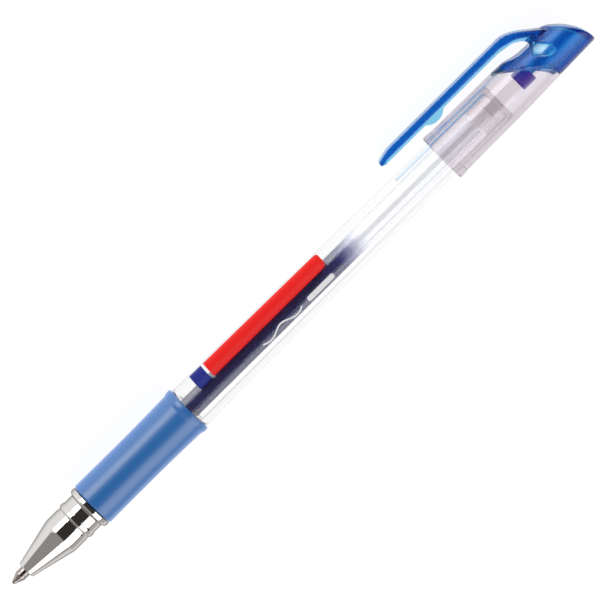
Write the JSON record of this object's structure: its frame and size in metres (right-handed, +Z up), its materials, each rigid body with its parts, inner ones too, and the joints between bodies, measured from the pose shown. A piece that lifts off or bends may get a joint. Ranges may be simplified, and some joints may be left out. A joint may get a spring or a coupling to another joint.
{
  "type": "gel pen",
  "caption": "Capped gel rollerball pen with a clear barrel, rubber grip, chrome nose, posted cap and spring pocket clip, for writing.",
  "frame": {"origin": "middle of the pen's bounding box, on the surface that it lies on", "axes": "+X along the pen from the writing point to the crown, +Z up, and the pocket clip leans on the surface on the +Y side"},
  "size_m": [0.1596, 0.0148, 0.0109],
  "materials": {
    "clear_styrene": "clear glossy polystyrene, slightly cool",
    "end_plug_plastic": "clear glossy plastic",
    "blue_rubber": "satin blue rubber",
    "polished_chrome": "mirror-bright chrome plating",
    "point_steel": "bright turned steel",
    "carbide_ball": "ground carbide",
    "holder_plastic": "natural moulded plastic",
    "natural_polypropylene": "milky see-through polypropylene",
    "blue_gel_ink": "dark blue gel, glossy against the tube",
    "follower_grease": "cloudy grease",
    "clear_cap": "clear glossy plastic with a slight warm grey tint",
    "blue_crown": "glossy see-through blue plastic",
    "blue_clip": "glossy see-through blue plastic",
    "seal_elastomer": "soft matt elastomer"
  },
  "bodies": {
    "barrel": {"barrel_tube": "clear_styrene", "barrel_end_plug": "end_plug_plastic", "grip_sleeve": "blue_rubber"},
    "nose": {"nose_cone": "polished_chrome"},
    "refill": {"refill_tube": "natural_polypropylene", "tip_holder": "holder_plastic", "point_body": "point_steel", "ink_column": "blue_gel_ink"},
    "ball": {"point_ball": "carbide_ball"},
    "follower": {"ink_follower": "follower_grease"},
    "cap": {"cap_tube": "clear_cap", "cap_crown": "blue_crown", "tip_seal": "seal_elastomer"},
    "clip": {"pocket_clip": "blue_clip"}
  },
  "joints": [
    {"name": "cap_slide", "type": "slide", "parent": "barrel", "child": "cap", "axis": [1, 0, 0], "range_m": [0, 0.03]},
    {"name": "clip_flex", "type": "hinge", "parent": "cap", "child": "clip", "pos_m": [0.0662, 0.00601, 0.00235], "axis": [0, -0.3647, -0.9311], "range_deg": [0, 5], "stiffness_Nm_per_rad": 0.6},
    {"name": "nose_slide", "type": "slide", "parent": "barrel", "child": "nose", "axis": [-1, 0, 0], "range_m": [0, 0.05]},
    {"name": "refill_slide", "type": "slide", "parent": "barrel", "child": "refill", "axis": [-1, 0, 0], "range_m": [0, 0.035]},
    {"name": "ball_roll", "type": "hinge", "parent": "refill", "child": "ball", "pos_m": [-0.07945, -0.00193, 0.00546], "axis": [0, -0.3647, -0.9311], "continuous": true},
    {"name": "follower_slide", "type": "slide", "parent": "refill", "child": "follower", "axis": [-1, 0, 0], "range_m": [0, 0.068], "deforming": ["ink_column"]}
  ],
  "couplings": [
    {"joint": "refill_slide", "follows": "nose_slide", "ratio": 0.6}
  ]
}
